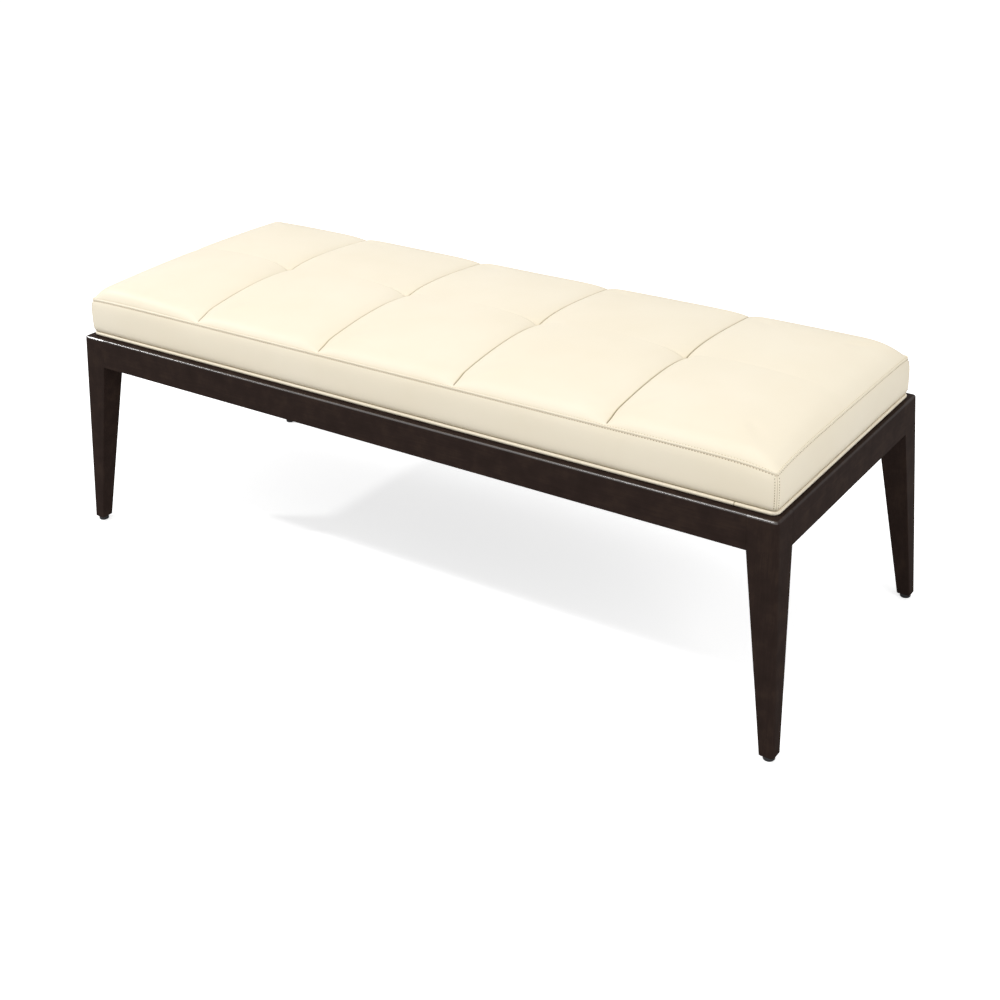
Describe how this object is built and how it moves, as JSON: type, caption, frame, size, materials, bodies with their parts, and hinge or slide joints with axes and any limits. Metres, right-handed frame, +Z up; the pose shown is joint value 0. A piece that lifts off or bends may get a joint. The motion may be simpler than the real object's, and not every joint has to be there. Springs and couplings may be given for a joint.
{
  "type": "waiting room bench",
  "caption": "Long backless bench: a quilted, blind-tufted leather box cushion on a low dark hardwood frame whose tapered square legs lean outward to small round glides.",
  "frame": {"origin": "on the floor under the middle of the bench", "axes": "+X along the bench to its right end, +Y from the front long side to the rear one, +Z up"},
  "size_m": [1.4016, 0.5496, 0.4749],
  "materials": {
    "espresso_wood": "hardwood stained near-black brown, satin lacquer",
    "birch_plywood": "sanded birch plywood",
    "beech_dowel": "plain beech",
    "cream_leather": "cream leather over wadding, fine grain, soft sheen",
    "seat_foam": "open-cell seat foam",
    "black_cambric": "thin black non-woven dust cover",
    "waxed_twine": "waxed tufting twine",
    "anchor_plastic": "moulded black plastic",
    "glide_nylon": "black nylon, slightly worn underneath",
    "zinc_steel": "bright zinc plate"
  },
  "bodies": {
    "root": {"front_rail": "espresso_wood", "rear_rail": "espresso_wood", "left_end_rail": "espresso_wood", "right_end_rail": "espresso_wood", "front_left_leg": "espresso_wood", "front_right_leg": "espresso_wood", "rear_left_leg": "espresso_wood", "rear_right_leg": "espresso_wood", "left_cross_rail": "espresso_wood", "right_cross_rail": "espresso_wood", "front_left_corner_block": "espresso_wood", "front_right_corner_block": "espresso_wood", "rear_left_corner_block": "espresso_wood", "rear_right_corner_block": "espresso_wood", "front_left_glide": "glide_nylon", "front_right_glide": "glide_nylon", "rear_left_glide": "glide_nylon", "rear_right_glide": "glide_nylon", "glide_nails": "zinc_steel", "block_screws": "zinc_steel", "hanger_bolts": "zinc_steel", "hanger_bolt_washers": "zinc_steel", "hanger_bolt_nuts": "zinc_steel", "deck_tee_nuts": "zinc_steel", "deck_screws": "zinc_steel", "deck_screw_washers": "zinc_steel", "cross_rail_dowels": "beech_dowel", "seat_deck": "birch_plywood", "dust_cover": "black_cambric", "foam_core": "seat_foam", "quilted_top": "cream_leather", "front_band": "cream_leather", "rear_band": "cream_leather", "left_band": "cream_leather", "right_band": "cream_leather", "base_welt": "cream_leather", "tuft_ties": "waxed_twine", "tuft_anchors": "anchor_plastic"}
  },
  "joints": []
}
